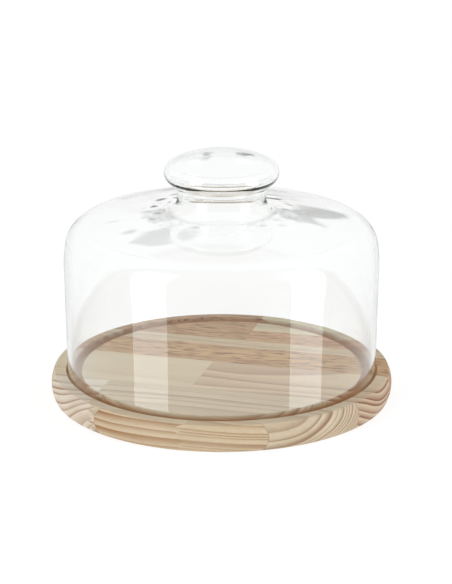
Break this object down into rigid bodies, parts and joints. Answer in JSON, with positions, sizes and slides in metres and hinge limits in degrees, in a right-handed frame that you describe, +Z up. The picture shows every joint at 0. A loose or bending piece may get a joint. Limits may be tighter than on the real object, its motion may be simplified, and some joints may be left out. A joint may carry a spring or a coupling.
{
  "type": "cake stand with glass dome",
  "caption": "Round wooden serving board with a turned groove, covered by a lift-off clear glass dome with a hollow round knob.",
  "frame": {"origin": "on the board's axis, at its underside", "axes": "+Z up along the axis of the board and the dome; -Y is the front"},
  "size_m": [0.25, 0.25, 0.1836],
  "materials": {
    "pine": "sanded and lightly oiled pine",
    "glass": "clear blown soda-lime glass, fire-polished rim"
  },
  "bodies": {
    "board": {"front_sliver_left_stave": "pine", "front_sliver_right_stave": "pine", "front_left_stave": "pine", "front_right_stave": "pine", "middle_left_stave": "pine", "middle_right_stave": "pine", "long_stave": "pine", "rear_left_stave": "pine", "rear_right_stave": "pine"},
    "dome": {"glass_dome": "glass"}
  },
  "joints": [
    {"name": "dome_lift", "type": "slide", "parent": "board", "child": "dome", "axis": [0, 0, 1], "range_m": [0, 0.16]}
  ]
}
